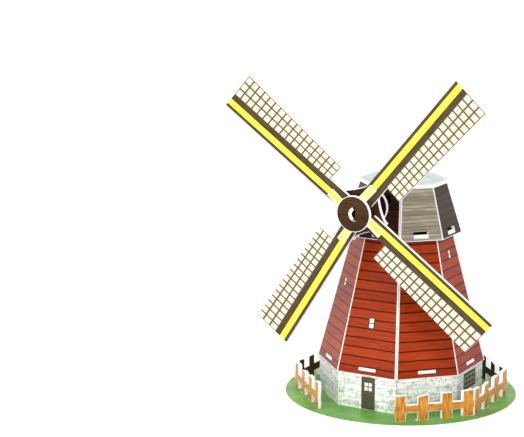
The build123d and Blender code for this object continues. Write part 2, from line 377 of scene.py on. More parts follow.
def folded_wall(node, sides, shape, materials, flat_leaf):
    """A board creased over neighbouring sides, mitred where it meets the next board."""
    card = new_card()
    last = len(sides) - 1
    for place, side in enumerate(sides):
        leaf = flat_leaf(side, place == 0, place == last)
        stand_up(leaf, side, shape, (place > 0, place < last))
        sheet = bpy.data.meshes.new("leaf")
        leaf.to_mesh(sheet)
        leaf.free()
        card.from_mesh(sheet)
        bpy.data.meshes.remove(sheet)
    knit(card)
    level = (1 + shape["batter"] ** 2) ** 0.5

    def towards_axis(co, depth):
        apothem = shape["foot"] - shape["batter"] * (co.z - shape["low"])
        keep = 1 - level * depth / apothem
        return Vector((co.x * keep, co.y * keep, co.z))

    thicken(card, towards_axis)
    start, end = SIDES[sides[0]] - 22.5, SIDES[sides[-1]] + 22.5
    middle = radians(start + 22.5 * len(sides))
    step = HALF_GAP / sin(radians(22.5 * len(sides)))
    nudge = Vector((cos(middle), sin(middle), 0)) * step
    for vert in card.verts:
        turn = degrees(atan2(vert.co.y, vert.co.x))
        if any(abs((turn - limit + 180) % 360 - 180) < 0.05 for limit in (start, end)):
            vert.co += nudge
    return finish_card(card, node, "root", materials)


def rubble(tree, place):
    """Pale limestone blocks with thin grey joints and greenish weathering."""
    warp = put(tree, "TexNoise", {"Vector": place, "Scale": 0.35, "Detail": 3.0})
    shift = put(
        tree, "VectorMath", {0: warp.outputs["Color"], 1: (0.5, 0.5, 0.5)}, operation="SUBTRACT"
    )
    drawn = {0: shift, 1: (2.6, 1.5, 0.0), 2: place}
    bent = put(tree, "VectorMath", drawn, operation="MULTIPLY_ADD")
    blocks = put(
        tree,
        "TexBrick",
        {
            "Vector": bent,
            "Color1": linear("#F8F9F5"),
            "Color2": linear("#E6EAE2"),
            "Mortar": linear("#A4AD9C"),
            "Scale": 1.0,
            "Mortar Size": 0.2,
            "Mortar Smooth": 0.6,
            "Brick Width": 8.2,
            "Row Height": 3.9,
        },
        offset=0.43,
        squash=0.7,
        squash_frequency=3,
    )
    flat = put(tree, "VectorMath", {0: place, 1: (0.6, 1.0, 1.0)}, operation="MULTIPLY")
    stains = put(tree, "TexNoise", {"Vector": flat, "Scale": 0.32, "Detail": 6.0, "Roughness": 0.7})
    stain_mask = put(tree, "MapRange", {"Value": stains, "From Min": 0.51, "From Max": 0.63})
    stained = put(
        tree, "MixRGB", {"Fac": stain_mask, "Color1": blocks, "Color2": linear("#A9B7AA")}
    )
    chips = put(tree, "TexNoise", {"Vector": flat, "Scale": 0.9, "Detail": 2.0, "Roughness": 0.4})
    chip_mask = put(
        tree, "MapRange", {"Value": chips, "From Min": 0.62, "From Max": 0.68, "To Max": 0.6}
    )
    return put(
        tree, "MixRGB", {"Fac": chip_mask, "Color1": stained, "Color2": linear("#66705F")}
    )


STONE = coated_paper("rubble_stone_print", rubble, 0.42, 0.2)
DOOR_LEAF = coated_paper("door_print", plain("#544F3B", "#413D2D"), 0.42, 0.2)
PANE = coated_paper("window_pane_print", plain("#F4F2E6", "#DAD9CB"), 0.42, 0.2)
DARK_PANE = coated_paper("dark_pane_print", plain("#4E5549", "#373C33"), 0.42, 0.2)
SASH = coated_paper("window_sash_print", plain("#A9AC93", "#8B8E78"), 0.42, 0.2)
DOOR_MIDDLE, DOOR_WIDTH, DOOR_TOP = 0.8, 8.4, 20.6


def door_patches():
    """A dark door leaf with four small panes near its top."""
    patches = [((DOOR_MIDDLE - DOOR_WIDTH / 2, DOOR_MIDDLE + DOOR_WIDTH / 2, BOARD, DOOR_TOP), 4)]
    pane, bar, low = 2.0, 0.5, 12.8
    for column in (-1, 0):
        for row in (0, 1):
            left = DOOR_MIDDLE + column * (pane + bar) + bar / 2
            bottom = low + row * (pane + bar)
            patches.append(((left, left + pane, bottom, bottom + pane), 5))
    return patches


def stone_window(middle, low=10.0, width=16.5, height=9.6):
    """A wide dark window frame, a paler sash in it and three by two dark panes."""
    left, rim, sash, bar = middle - width / 2, 1.5, 0.8, 0.8
    patches = [((left, left + width, low, low + height), 4)]
    inside = (left + rim, left + width - rim, low + rim, low + height - rim)
    patches.append((inside, 7))
    pane_wide = (inside[1] - inside[0] - 2 * sash - 2 * bar) / 3
    pane_high = (inside[3] - inside[2] - 2 * sash - bar) / 2
    for column in range(3):
        for row in range(2):
            x = inside[0] + sash + column * (pane_wide + bar)
            y = inside[2] + sash + row * (pane_high + bar)
            patches.append(((x, x + pane_wide, y, y + pane_high), 6))
    return patches


OPENINGS = {
    "B": door_patches(),
    "D": stone_window(-0.4),
    "F": stone_window(0.0),
    "H": stone_window(0.4),
}


def stone_leaf(side, first, last):
    reach = STONE_WALL["foot"] * HALF_SIDE + 1
    tabs = [(-reach, -STONE_TAB / 2, -1, BOARD), (STONE_TAB / 2, reach, -1, BOARD)]
    return wall_leaf(STONE_WALL, tabs, OPENINGS.get(side, []), (STONE_SEAM, STONE_SEAM))


for node, sides in {"stone_wall_left": "GHAB", "stone_wall_right": "CDEF"}.items():
    folded_wall(
        node,
        sides,
        STONE_WALL,
        [STONE, WHITE_PAPER, FOAM, WHITE_PAPER, DOOR_LEAF, PANE, DARK_PANE, SASH],
        stone_leaf,
    )

# ---- fences -------------------------------------------------------------------------------
# Post-and-rail strips, die cut in one piece with a timber print, white cut margins and a
# dark brown back. Each folds over one or two sides and stands in the ground plate on tabs.
FENCE = {"foot": 56.0, "batter": 0.0, "low": 0.0}
POSTS = ((-19.6, 15.0, 0.5), (-6.6, 14.2, -0.7), (7.2, 14.6, 0.3), (19.6, 15.0, -0.4))
POST_WIDTH = 6.2
RAIL_LOW, RAIL_HIGH = 4.6, 8.8
FENCE_MARGIN, POST_MARGIN = 0.15, 0.25


def timber(seed, upright):
    """A paint of orange-brown timber, with its grain upright or level."""

    def paint(tree, place):
        stretch = (2.0, 0.16, 1.0) if upright else (0.16, 2.0, 1.0)
        laid = put(tree, "VectorMath", {0: place, 1: stretch}, operation="MULTIPLY")
        moved = put(tree, "VectorMath", {0: laid, 1: (seed, seed, seed)}, operation="ADD")
        figure = {"Vector": moved, "Scale": 1.0, "Detail": 5.0, "Distortion": 0.6}
        grain = put(tree, "TexNoise", figure)
        return tones(
            tree, grain, (0.3, "#6F3C0C"), (0.42, "#B06F1F"), (0.55, "#CB8A2E"), (0.7, "#DBA34B")
        )

    return paint


POST_PRINT = coated_paper("timber_post_print", timber(3.0, True), 0.42, 0.2)
RAIL_PRINT = coated_paper("timber_rail_print", timber(9.0, False), 0.42, 0.2)
FENCE_BACK = coated_paper("brown_back_print", plain("#4A3018", "#2F1D0D"), 0.5)


def fence_leaf(side, first, last):
    """One side of the fence: posts with sloping tops, joined by one rail."""
    end = FENCE["foot"] * HALF_SIDE
    below, above = [(-end, RAIL_LOW + BOARD)], [(-end, RAIL_HIGH + BOARD)]
    for offset, top, slant in POSTS:
        left, right = offset - POST_WIDTH / 2, offset + POST_WIDTH / 2
        foot = [(left, BOARD), (right, BOARD)]
        for tab in FENCE_TABS:
            if abs(tab - offset) < 1:
                near, far = max(left, tab - POST_TAB / 2), min(right, tab + POST_TAB / 2)
                foot = [foot[0], (near, BOARD), (near, 0), (far, 0), (far, BOARD), foot[1]]
                foot = [spot for spot, after in zip(foot, foot[1:] + [None]) if spot != after]
        below += [(left, RAIL_LOW + BOARD), *foot, (right, RAIL_LOW + BOARD)]
        above += [(left, RAIL_HIGH + BOARD), (left, top + BOARD - abs(slant) + min(slant, 0) / 2)]
        above += [(right, top + BOARD - max(slant, 0)), (right, RAIL_HIGH + BOARD)]
    outline = below + [(end, RAIL_LOW + BOARD), (end, RAIL_HIGH + BOARD)] + above[:0:-1] + above[:1]
    card = die_cut(outline, margin=FENCE_MARGIN)
    for offset, _, _ in POSTS:
        for x in (offset - POST_WIDTH / 2 + FENCE_MARGIN, offset + POST_WIDTH / 2 - POST_MARGIN):
            score(card, (x, 0), (1, 0))
    for z in (RAIL_LOW + BOARD + FENCE_MARGIN, RAIL_HIGH + BOARD - FENCE_MARGIN):
        score(card, (0, z), (0, 1))
    for face in card.faces:
        middle = face.calc_center_median()
        reaches = [middle.x - offset for offset, _, _ in POSTS]
        on_post = any(-POST_WIDTH / 2 < x < POST_WIDTH / 2 - POST_MARGIN for x in reaches)
        if face.material_index == 0 and not on_post:
            on_rail = RAIL_LOW < middle.y - BOARD < RAIL_HIGH
            face.material_index = 4 if on_rail else 1
    return card


for node, sides in {
    "fence_left": "A",
    "fence_front_right": "CD",
    "fence_rear_right": "EF",
    "fence_rear_left": "GH",
}.items():
    folded_wall(
        node,
        sides,
        FENCE,
        [POST_PRINT, WHITE_PAPER, FOAM, FENCE_BACK, RAIL_PRINT],
        fence_leaf,
    )

# ---- tower panels -------------------------------------------------------------------------
# Four red plank-print panels, each creased over two of the eight sides and butted edge to
# edge. The crease and the butt joints show a white line of unprinted paper.
TOWER = {"foot": 43.8, "batter": 0.243, "low": 21.6, "high": 97.0}
LOWER_FLOOR_Z, TOWER_TAB = 23.8, 10.0
TAB_PINCH = 0.7
SEAM_WIDTH, TOWER_HEM = 0.85, 0.3


def planks(pitch, line, colours, gap, grain=1.0):
    """A paint of level planks: dark gaps, streaky grain and a tint for each plank."""

    def paint(tree, place):
        axes = put(tree, "SeparateXYZ", {0: place})
        wave = put(tree, "TexNoise", {"Vector": place, "Scale": 0.12, "Detail": 1.0})
        height = axes.outputs["Y"]
        drift = put(tree, "Math", {0: wave, 1: 0.35, 2: height}, operation="MULTIPLY_ADD")
        rows = put(tree, "Math", {0: drift, 1: pitch}, operation="DIVIDE")
        row = put(tree, "Math", {0: rows}, operation="FLOOR")
        within = put(tree, "Math", {0: rows}, operation="FRACT")
        along = put(tree, "Math", {0: axes.outputs["X"], 1: 0.09}, operation="MULTIPLY")
        across = put(tree, "Math", {0: height, 1: 1.6}, operation="MULTIPLY")
        apart = put(tree, "Math", {0: row, 1: 3.7}, operation="MULTIPLY")
        laid = put(tree, "CombineXYZ", {0: along, 1: across, 2: apart})
        figure = {"Vector": laid, "Scale": 1.0, "Detail": 6.0, "Roughness": 0.6}
        streaks = put(tree, "TexNoise", figure)
        tint = put(tree, "TexWhiteNoise", {"W": row}, noise_dimensions="1D").outputs["Value"]
        lift = put(tree, "Math", {0: tint, 1: 0.24, 2: -0.12}, operation="MULTIPLY_ADD")
        tone = put(tree, "Math", {0: lift, 1: streaks}, operation="ADD")
        wide = 0.22 / grain
        wood = tones(
            tree, tone, (0.5 - wide, colours[0]), (0.5, colours[1]), (0.5 + wide, colours[2])
        )
        ragged = put(tree, "TexNoise", {"Vector": place, "Scale": 0.9, "Detail": 2.0})
        worn = put(tree, "Math", {0: ragged, 1: 0.07, 2: -0.035}, operation="MULTIPLY_ADD")
        edge = put(tree, "Math", {0: worn, 1: within}, operation="ADD")
        board = put(
            tree,
            "MapRange",
            {"Value": edge, "From Min": 0.55 * line / pitch, "From Max": 1.15 * line / pitch},
        )
        return put(tree, "MixRGB", {"Fac": board, "Color1": linear(gap), "Color2": wood})

    return paint


RED_PLANKS = coated_paper(
    "red_plank_print", planks(5.15, 0.8, ("#7C2404", "#96300A", "#A93C12"), "#260A02"), 0.28
)
WINDOW_FRAME = coated_paper("window_frame_print", plain("#4A3B30", "#362820"), 0.34, 0.12)
# Dark brown painted shadow for the band round each tower slot.
SLOT_PAINTED_SHADOW = coated_paper("slot_painted_shadow", plain("#4A1606", "#2C0C03"), 0.34, 0.12)


def tower_window(middle, low, width, height):
    """A dark window frame round two pale panes."""
    left, right, bar, half = middle - width / 2, middle + width / 2, 0.75, height / 2
    return [
        ((left, right, low, low + height), 4),
        ((left + bar, right - bar, low + bar, low + half - bar / 3), 5),
        ((left + bar, right - bar, low + half + bar / 3, low + height - bar), 5),
    ]


TOWER_WINDOWS = {
    "A": tower_window(-2.7, 64.4, 3.4, 5.6),
    "B": tower_window(-0.5, 46.5, 4.0, 6.5),
    "D": tower_window(0.7, 82.0, 3.4, 5.6),
    "F": tower_window(0.0, 46.5, 4.0, 6.5),
    "H": tower_window(0.0, 70.0, 3.4, 5.6),
}
SLOT_SHADE = 0.45


def tower_leaf(side, first, last):
    half = TOWER_TAB / 2 + SLOT_PLAY
    high = BOARD * TAB_PINCH / 2 + SLOT_PLAY
    slot = (-half, half, LOWER_FLOOR_Z + BOARD / 2 - high, LOWER_FLOOR_Z + BOARD / 2 + high)
    margins = (SEAM_WIDTH if first else CREASE_WIDTH, SEAM_WIDTH if last else CREASE_WIDTH)
    # A dark band round the slot is painted shadow: the shade round the tab where it passes through
    # the wall.
    shade = ((-half, half + SLOT_SHADE, slot[2] - SLOT_SHADE, slot[3] + SLOT_SHADE), 6)
    return wall_leaf(TOWER, [slot], TOWER_WINDOWS.get(side, []) + [shade], margins, TOWER_HEM)


for node, sides in {
    "tower_front_left": "AB",
    "tower_front_right": "CD",
    "tower_rear_right": "EF",
    "tower_rear_left": "GH",
}.items():
    folded_wall(
        node,
        sides,
        TOWER,
        [RED_PLANKS, WHITE_PAPER, FOAM, WHITE_PAPER, WINDOW_FRAME, PANE, SLOT_PAINTED_SHADOW],
        tower_leaf,
    )

# ---- floors and shaft bearing ---------------------------------------------------------------
# Plates inside: three eight-sided floors hold the panels apart, and two of them lock through
# the walls by tabs. The lower one's tabs are pinched thin where they pass through the wall.
# An upright plate on the top floor carries the shaft.
UPPER_FLOOR_Z, CAP_FLOOR_Z = 95.0, 97.0
CAP = {"foot": 30.6, "batter": 0.288, "low": 95.5, "high": 123.3}
CAP_TAB = 8.0
FLOOR_PLAY = 0.05
BORE_R = 3.9
HUB = Vector((0, -56.9, 115.7))
DROOP = radians(2.0)
BEARING_Y, BEARING_HALF, BEARING_TOP = -6.0, 14.0, 122.6


def floor_outline(apothem, reach=None, tab=0.0):
    """The outline of an eight-sided floor, with a tab on each side if it has a reach."""
    outline = []
    for turn in sorted(SIDES.values()):
        out = Vector((cos(radians(turn)), sin(radians(turn))))
        way = Vector((-out.y, out.x))
        outline.append(tuple(out * apothem - way * apothem * HALF_SIDE))
        if reach:
            outline += [
                tuple(out * far + way * side * tab / 2)
                for far, side in ((apothem, -1), (reach, -1), (reach, 1), (apothem, 1))
            ]
    return outline


def apothem_inside(shape, z):
    """Where a board's outside and inside lie at a height."""
    outside = shape["foot"] - shape["batter"] * (z - shape["low"])
    return outside, outside - BOARD * (1 + shape["batter"] ** 2) ** 0.5 - FLOOR_PLAY


# Near-black painted shade on the cap floor's top: seen through the slots above its tabs, it stands
# in for the dark inside the cap.
CAP_FLOOR_SHADE = coated_paper("cap_floor_painted_shade", plain("#241A14", "#16100C"), 0.5)
for node, shape, z, tab in (
    ("lower_floor", TOWER, LOWER_FLOOR_Z, TOWER_TAB),
    ("upper_floor", TOWER, UPPER_FLOOR_Z, 0.0),
    ("cap_floor", CAP, CAP_FLOOR_Z, CAP_TAB),
):
    outside, inside = apothem_inside(shape, z + BOARD)
    level = die_cut(floor_outline(inside, outside if tab else None, tab), margin=0)
    map_print(level)
    thicken(level)
    if node == "lower_floor":
        for vert in level.verts:
            turn = radians(round(degrees(atan2(vert.co.y, vert.co.x)) / 45) * 45)
            along = vert.co.y * cos(turn) - vert.co.x * sin(turn)
            if abs(along) < tab / 2 + 0.1:
                vert.co.z = (vert.co.z + BOARD / 2) * TAB_PINCH - BOARD / 2
    bmesh.ops.translate(level, vec=(0, 0, z + BOARD), verts=level.verts)
    # Only the cap floor's top gets the painted shade.
    top = CAP_FLOOR_SHADE if node == "cap_floor" else WHITE_PAPER
    finish_card(level, node, "root", [top, WHITE_PAPER, FOAM, WHITE_PAPER])

axis_z = HUB.z + (BEARING_Y - HUB.y) * tan(DROOP)
low = CAP_FLOOR_Z + BOARD
half = BEARING_HALF
bearing = die_cut(
    [(-half, low), (half, low), (half, BEARING_TOP), (-half, BEARING_TOP)],
    [[(x, axis_z + y) for x, y in circle(BORE_R, 48)]],
    margin=0,
)
map_print(bearing)
thicken(bearing)
upright = Matrix.Rotation(pi / 2, 3, "X")
bmesh.ops.rotate(bearing, cent=(0, 0, 0), matrix=upright, verts=bearing.verts)
bmesh.ops.translate(bearing, vec=(0, BEARING_Y, 0), verts=bearing.verts)
finish_card(
    bearing, "shaft_bearing", "root", [WHITE_PAPER, WHITE_PAPER, FOAM, WHITE_PAPER]
)

# ---- cap panels ---------------------------------------------------------------------------
# Four short leaning panels carry the roof: dark boards at the front, weathered grey at its
# right, brown round the rest. The floor's tabs show through a slot in each side, and the
# shaft goes in through a round hole in the front.
DARK_BOARDS = coated_paper(
    "dark_board_print", planks(3.4, 0.6, ("#1F0D07", "#31160B", "#421E10"), "#0A0301"), 0.4
)
GREY_BOARDS = coated_paper(
    "grey_board_print",
    planks(1.95, 0.42, ("#776F5B", "#958D79", "#ADA795"), "#6F6957", 1.3),
    0.42,
    0.12,
)
BROWN_BOARDS = coated_paper(
    "brown_board_print",
    planks(3.6, 0.55, ("#2F221A", "#3F3026", "#4E3D31"), "#1D130D"),
    0.42,
    0.1,
)
CAP_BOARD = {"A": 4, "C": 5, "D": 4, "E": 5, "F": 4, "G": 5, "H": 4}
CAP_TAB_PLAY, CAP_TAB_HEADROOM, CAP_HEM = 0.5, 1.5, 0.35
# The hole is cut wider than the shaft needs in front, because it narrows inwards.
BORE_EASE = (1.1, 1.04, 1)
BORE_FRAME, BORE_HEIGHT = 5.0, 115.0


def cap_leaf(side, first, last):
    half = CAP_TAB / 2 + CAP_TAB_PLAY
    slot = (-half, half, CAP_FLOOR_Z - SLOT_PLAY, CAP_FLOOR_Z + BOARD + CAP_TAB_HEADROOM)
    margins = (SEAM_WIDTH if first else CREASE_WIDTH, SEAM_WIDTH if last else CREASE_WIDTH)
    patches, cuts = [], [slot]
    if side in CAP_BOARD:
        patches = [((-CAP["foot"], CAP["foot"], CAP["low"], CAP["high"]), CAP_BOARD[side])]
    else:
        wall_y = -CAP["foot"] + CAP["batter"] * (BORE_HEIGHT - CAP["low"])
        bore_z = HUB.z + (wall_y - HUB.y) * tan(DROOP)
        cuts.append((-BORE_FRAME, BORE_FRAME, bore_z - BORE_FRAME, bore_z + BORE_FRAME))
    leaf = wall_leaf(CAP, cuts, patches, margins, CAP_HEM)
    if side not in CAP_BOARD:
        near = BORE_FRAME + 0.01
        corners = [v for v in leaf.verts if abs(v.co.x) < near and abs(v.co.y - bore_z) < near]
        square = [
            edge
            for edge in leaf.edges
            if edge.is_boundary and all(v in corners for v in edge.verts)
        ]
        ring = bmesh.ops.create_circle(leaf, segments=48, radius=BORE_R)["verts"]
        bmesh.ops.scale(leaf, vec=BORE_EASE, verts=ring)
        bmesh.ops.translate(leaf, vec=(0, bore_z, 0), verts=ring)
        rim = {edge for vert in ring for edge in vert.link_edges}
        bmesh.ops.triangle_fill(leaf, edges=square + list(rim), use_beauty=True, normal=(0, 0, 1))
    return leaf


for node, sides in {
    "cap_front_left": "AB",
    "cap_front_right": "CD",
    "cap_rear_right": "EF",
    "cap_rear_left": "GH",
}.items():
    folded_wall(
        node,
        sides,
        CAP,
        [DARK_BOARDS, WHITE_PAPER, FOAM, WHITE_PAPER, BROWN_BOARDS, GREY_BOARDS],
        cap_leaf,
    )

# ---- roof ---------------------------------------------------------------------------------
# One flat eight-sided board with a faint grey print closes the cap. It rests on the panels'
# top edges and overhangs them by less than a millimetre, so its white cut edge shows.
ROOF_APOTHEM = 23.0


def weathered(tree, place):
    """Pale grey roofing with soft cloudy streaks."""
    figure = {"Vector": place, "Scale": 0.12, "Detail": 6.0, "Distortion": 0.4}
    cloud = put(tree, "TexNoise", figure)
    return tones(tree, cloud, (0.35, "#A1ADAD"), (0.6, "#B7C2C1"))


ROOF = coated_paper("pale_roof_print", weathered, 0.4, 0.25)
lid = die_cut(floor_outline(ROOF_APOTHEM))
map_print(lid)
thicken(lid)
bmesh.ops.translate(lid, vec=(0, 0, CAP["high"] + BOARD), verts=lid.verts)
finish_card(lid, "cap_roof", "root", [ROOF, WHITE_PAPER, FOAM, WHITE_PAPER])

# ---- windshaft ----------------------------------------------------------------------------
# A strip of card rolled lengthwise into an open gutter. It runs through every disc and turns
# in the front wall and the bearing, and its white end shows in the middle of the hub.
ROTOR = Matrix.Translation(HUB) @ Matrix(
    ((1, 0, 0, 0), (0, sin(-DROOP), -cos(DROOP), 0), (0, cos(DROOP), -sin(DROOP), 0), (0, 0, 0, 1))
)
SHAFT_R, SHAFT_SHIFT, SHAFT_WALL, SHAFT_HALF_ANGLE = 4.1, 1.5, 1.8, 65.0
SHAFT_FRONT, SHAFT_BACK, SHAFT_WEAR = 5.3, -58.0, 0.06
HUB_BROWN = coated_paper(
    "hub_wood_print", planks(40.0, 0.1, ("#2C1707", "#3F260E", "#513315"), "#3F260E", 1.2), 0.42
)
# Near-black painted shade: the dark deep inside the rolled shaft, and the star plate's shadow on
# the rear disc.
PAINTED_SHADE_DARK = coated_paper("dark_painted_shade", plain("#2A160C", "#1B0D06"), 0.5)

shaft = new_card()
stations = [SHAFT_R - SHAFT_WALL, SHAFT_R - SHAFT_WALL + SKIN, SHAFT_R - SKIN, SHAFT_R]
profile = [shaft.verts.new((radius, 0, 0)) for radius in stations]
edges = [shaft.edges.new(pair) for pair in zip(profile, profile[1:])]
first_corner = Matrix.Rotation(radians(180 - SHAFT_HALF_ANGLE), 3, "Z")
bmesh.ops.rotate(shaft, cent=(0, 0, 0), matrix=first_corner, verts=profile)
bmesh.ops.spin(
    shaft,
    geom=profile + edges,
    cent=(0, 0, 0),
    axis=(0, 0, 1),
    angle=radians(2 * SHAFT_HALF_ANGLE),
    steps=26,
)
for face in shaft.faces:
    ring = (face.calc_center_median().xy).length
    face.material_index = 2 if stations[1] < ring < stations[2] else 1
ends = list(shaft.faces)
grown = bmesh.ops.extrude_face_region(shaft, geom=ends)["geom"]
back_end = [part for part in grown if isinstance(part, bmesh.types.BMVert)]
bmesh.ops.translate(shaft, vec=(0, 0, SHAFT_BACK - SHAFT_FRONT), verts=back_end)
bmesh.ops.recalc_face_normals(shaft, faces=shaft.faces)
shaft.normal_update()
layer = shaft.loops.layers.uv["print"]
for face in shaft.faces:
    centre = face.calc_center_median()
    if abs(face.normal.z) < 0.5:
        inward = face.normal.x * centre.x + face.normal.y * centre.y < -0.5
        # The gutter's inside takes the near-black painted shade, for the dark deep in the rolled
        # shaft.
        face.material_index = 3 if inward else 0
    for loop in face.loops:
        loop[layer].uv = (loop.vert.co.z, loop.vert.co.y)
bmesh.ops.translate(shaft, vec=(SHAFT_SHIFT, 0, SHAFT_FRONT), verts=shaft.verts)
bmesh.ops.transform(shaft, matrix=ROTOR, verts=shaft.verts)
finish_card(
    shaft,
    "windshaft",
    "rotor",
    [HUB_BROWN, WHITE_PAPER, FOAM, PAINTED_SHADE_DARK],
    SHAFT_WEAR,
)

# ---- sails --------------------------------------------------------------------------------
# Four flat boards, each printed as a yellow-lined spar and a laced lattice frame. They lap
# the hub between the star plate and the cross, and lean a little forward or back.
SAIL_START, SAIL_LENGTH, FRAME_START, FRAME_EDGE = 8.0, 92.9, 22.8, -12.1
SPAR_ROOT, SPAR_TIP, ROOT_LOW, SHOULDER_LOW = 5.6, 10.6, -3.4, -2.4
SPAR_SLOPE = (SPAR_TIP - SPAR_ROOT) / (SAIL_LENGTH - SAIL_START)
# For each sail: its angle round the hub, its lean forward, and how far the print overlaps
# its outer edge.
SAILS = {
    "sail_upper_right": (46.2, 0.0, 0.0),
    "sail_upper_left": (138.2, -4.5, 0.0),
    "sail_lower_left": (232.9, 3.0, 1.0),
    "sail_lower_right": (318.2, 3.0, 1.0),
}
OUTER_BAND, YELLOW_BAND, INNER_BAND = 1.8, 3.4, 3.2
LATTICE_ROWS, LATTICE_COLUMNS = 17, 3
LATTICE_LINE = 1.1


def lattice(overlap):
    """A paint of cream cloth behind thin brown laths, three cells wide.

    overlap is how far the print runs past the board's outer edge, which cuts the last lath off.
    """

    def paint(tree, place):
        axes = put(tree, "SeparateXYZ", {0: place})
        spar = SPAR_ROOT - SAIL_START * SPAR_SLOPE - OUTER_BAND - YELLOW_BAND - INNER_BAND
        edge = {0: axes.outputs["X"], 1: SPAR_SLOPE, 2: spar}
        top = put(tree, "Math", edge, operation="MULTIPLY_ADD")
        width = put(tree, "Math", {0: top, 1: overlap - FRAME_EDGE}, operation="ADD")
        down = put(tree, "Math", {0: top, 1: axes.outputs["Y"]}, operation="SUBTRACT")
        column = put(tree, "Math", {0: down, 1: width}, operation="DIVIDE")
        out = put(tree, "Math", {0: axes.outputs["X"], 1: -FRAME_START}, operation="ADD")
        rise = (SAIL_LENGTH - FRAME_START) / LATTICE_ROWS
        ridges = []
        for value, scale, mean in (
            (column, LATTICE_COLUMNS, (0.5 - FRAME_EDGE) / LATTICE_COLUMNS),
            (out, 1 / rise, rise),
        ):
            cells = put(tree, "Math", {0: value, 1: scale}, operation="MULTIPLY")
            near = put(tree, "Math", {0: cells, 1: 1.0}, operation="PINGPONG")
            # PINGPONG gives 0 at each even line and 1 at each odd one: fold it to one kind.
            half = put(tree, "Math", {0: near, 1: 0.5}, operation="SUBTRACT")
            deep = put(tree, "Math", {0: half}, operation="ABSOLUTE")
            line = LATTICE_LINE / 2 / mean
            ridges.append(
                put(
                    tree,
                    "MapRange",
                    {"Value": deep, "From Min": 0.5 - line * 1.3, "From Max": 0.5 - line * 0.7},
                )
            )
        both = put(tree, "Math", {0: ridges[0], 1: ridges[1]}, operation="MAXIMUM")
        wear = put(tree, "TexNoise", {"Vector": place, "Scale": 1.2, "Detail": 3.0})
        lath = tones(tree, wear, (0.3, "#55430F"), (0.6, "#78602A"))
        weave = put(tree, "TexNoise", {"Vector": place, "Scale": 0.5, "Detail": 5.0})
        cloth = tones(tree, weave, (0.3, "#F3E8C8"), (0.6, "#FBF3DC"))
        return put(tree, "MixRGB", {"Fac": both, "Color1": cloth, "Color2": lath})

    return paint


def streaked(*codes):
    """A paint with fine streaks along the board."""

    def paint(tree, place):
        laid = put(tree, "VectorMath", {0: place, 1: (0.12, 1.8, 1.0)}, operation="MULTIPLY")
        streaks = put(tree, "TexNoise", {"Vector": laid, "Scale": 1.0, "Detail": 5.0})
        return tones(tree, streaks, (0.35, codes[0]), (0.65, codes[1]))

    return paint


SPAR_DARK = coated_paper("spar_wood_print", streaked("#352B1D", "#57472F"), 0.42, 0.1)
SPAR_YELLOW = coated_paper("yellow_spar_print", streaked("#EBDD3A", "#F5EA4E"), 0.42, 0.1)
SAIL_BACK = coated_paper("sail_back_print", streaked("#3F2C19", "#553D25"), 0.5)
LATTICES = {
    over: coated_paper(f"lattice_print_{over:.0f}", lattice(over), 0.45, 0.1) for over in (0.0, 1.0)
}

for node, (angle, lean, overlap) in SAILS.items():
    sail = die_cut(
        [
            (SAIL_START, SPAR_ROOT),
            (SAIL_START, ROOT_LOW),
            (FRAME_START, SHOULDER_LOW),
            (FRAME_START, FRAME_EDGE),
            (SAIL_LENGTH, FRAME_EDGE),
            (SAIL_LENGTH, SPAR_TIP),
        ],
        margin=0,
    )
    bands = (OUTER_BAND, OUTER_BAND + YELLOW_BAND, OUTER_BAND + YELLOW_BAND + INNER_BAND)
    cuts = [((SAIL_START, SPAR_ROOT - band), (-SPAR_SLOPE, 1)) for band in bands]
    cuts.append(((FRAME_START, 0), (1, 0)))
    for point, across in cuts:
        score(sail, point, across)
    for face in sail.faces:
        middle = face.calc_center_median()
        depth = SPAR_ROOT + SPAR_SLOPE * (middle.x - SAIL_START) - middle.y
        if bands[0] < depth < bands[1]:
            face.material_index = 4
        elif depth > bands[2] and middle.x > FRAME_START:
            face.material_index = 5
    map_print(sail)
    thicken(sail)
    turn, tilt = radians(angle), radians(lean)
    across, up, front = (ROTOR.col[column].xyz for column in range(3))
    outward = across * cos(turn) + up * sin(turn)
    along = outward * cos(tilt) - front * sin(tilt)
    normal = front * cos(tilt) + outward * sin(tilt)
    seat = Matrix((along, normal.cross(along), normal)).transposed().to_4x4()
    bmesh.ops.transform(sail, matrix=Matrix.Translation(HUB) @ seat, verts=sail.verts)
    finish_card(
        sail,
        node,
        "rotor",
        [SPAR_DARK, WHITE_PAPER, FOAM, SAIL_BACK, SPAR_YELLOW, LATTICES[overlap]],
    )

# ---- hub cross ----------------------------------------------------------------------------
# A small four-armed cross of thinner board ties the sails' roots together, under the front
# disc. Each arm lies along the yellow line of its sail. Its pale yellow is painted highlight:
# the glare on the sails' yellow near the hub.
CROSS_REACH, CROSS_RIGHT, CROSS_LEFT, CROSS_CORE = 18.0, 0.2, 4.6, 5.8
CROSS_BACK, CROSS_BOARD, CROSS_MARGIN, CROSS_STRIP = 1.5, 1.5, 0.15, 1.2
SLOT_FLAT = 1.2
angles = [angle for angle, _, _ in SAILS.values()]


def shaft_slot():
    """The D-shaped slot that every piece on the shaft has."""
    flat = degrees(pi / 2 - asin((SLOT_FLAT - SHAFT_SHIFT) / SHAFT_R))
    return [(x + SHAFT_SHIFT, y) for x, y in circle(SHAFT_R, 40, flat, 360 - 2 * flat)]


def seat_on_shaft(card, node, front, board, materials):
    """Thicken a plate, slide it along the shaft to where its front lies and finish it."""
    map_print(card)
    thicken(card, board=board)
    bmesh.ops.translate(card, vec=(0, 0, front), verts=card.verts)
    bmesh.ops.transform(card, matrix=ROTOR, verts=card.verts)
    finish_card(card, node, "rotor", materials)


